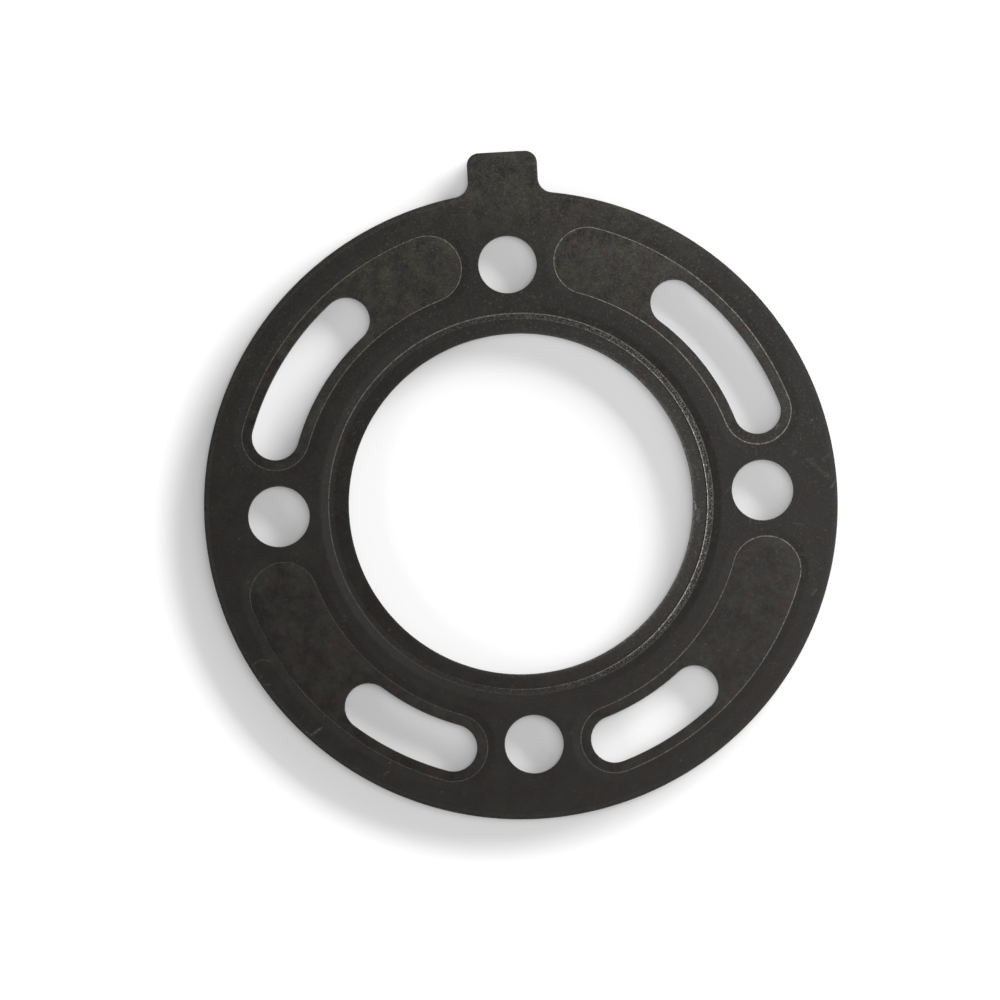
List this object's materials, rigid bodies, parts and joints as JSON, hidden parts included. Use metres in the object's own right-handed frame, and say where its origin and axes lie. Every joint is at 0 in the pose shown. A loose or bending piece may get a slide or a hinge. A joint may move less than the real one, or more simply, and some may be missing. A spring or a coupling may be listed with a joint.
{
  "type": "cylinder head gasket",
  "caption": "Round single-layer embossed steel cylinder head gasket with a beaded bore, stud holes, coolant slots in pressed pads and a locating tab.",
  "frame": {"origin": "centre of the bore, on the plane that the pressed beads rest on", "axes": "+Z along the bore axis, towards the cylinder head; +Y towards the locating tab"},
  "size_m": [0.0916, 0.0974, 0.0007],
  "materials": {
    "coated_steel": "thin matt black rubber coating over spring steel, lightly worn along the bead creases"
  },
  "bodies": {
    "root": {"gasket_plate": "coated_steel"}
  },
  "joints": []
}
